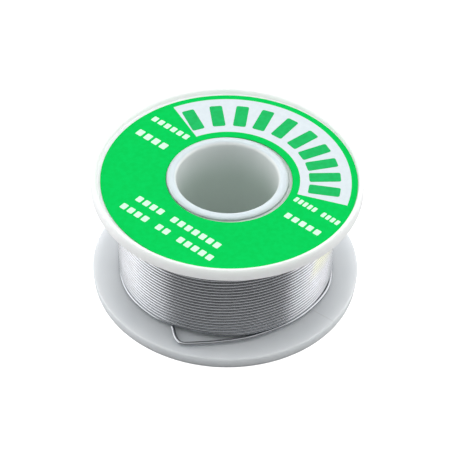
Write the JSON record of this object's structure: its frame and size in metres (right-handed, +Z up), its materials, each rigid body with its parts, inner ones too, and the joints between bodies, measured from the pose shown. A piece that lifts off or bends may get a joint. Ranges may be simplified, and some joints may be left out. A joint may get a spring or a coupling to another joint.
{
  "type": "solder wire spool",
  "caption": "White plastic spool of fine flux-cored solder wire with a green ring label, standing on its flange, the wire's free end tucked in at the foot.",
  "frame": {"origin": "middle of the underside, on the spool's axis, in the plane that the lower rim stands on", "axes": "+Z up along the spool's axis, -Y towards the side where the free end is tucked in, +X to the right of it"},
  "size_m": [0.056, 0.056, 0.0279],
  "materials": {
    "spool_plastic": "slightly translucent white moulded plastic",
    "label_paper": "satin printed paper, green with a white panel",
    "solder_alloy": "drawn tin alloy wire, satin grey",
    "flux_core": "amber rosin"
  },
  "bodies": {
    "spool": {"upper_flange": "spool_plastic", "lower_flange": "spool_plastic", "bore_tube": "spool_plastic", "winding_drum": "spool_plastic", "upper_label": "label_paper", "solder_winding": "solder_alloy", "wire_start": "solder_alloy"},
    "free_end": {"free_end_sheath": "solder_alloy", "free_end_flux": "flux_core"}
  },
  "joints": [
    {"name": "wire_payoff", "type": "hinge", "parent": "spool", "child": "free_end", "pos_m": [0, 0, 0.0033], "axis": [0, 0, 1], "continuous": true}
  ]
}
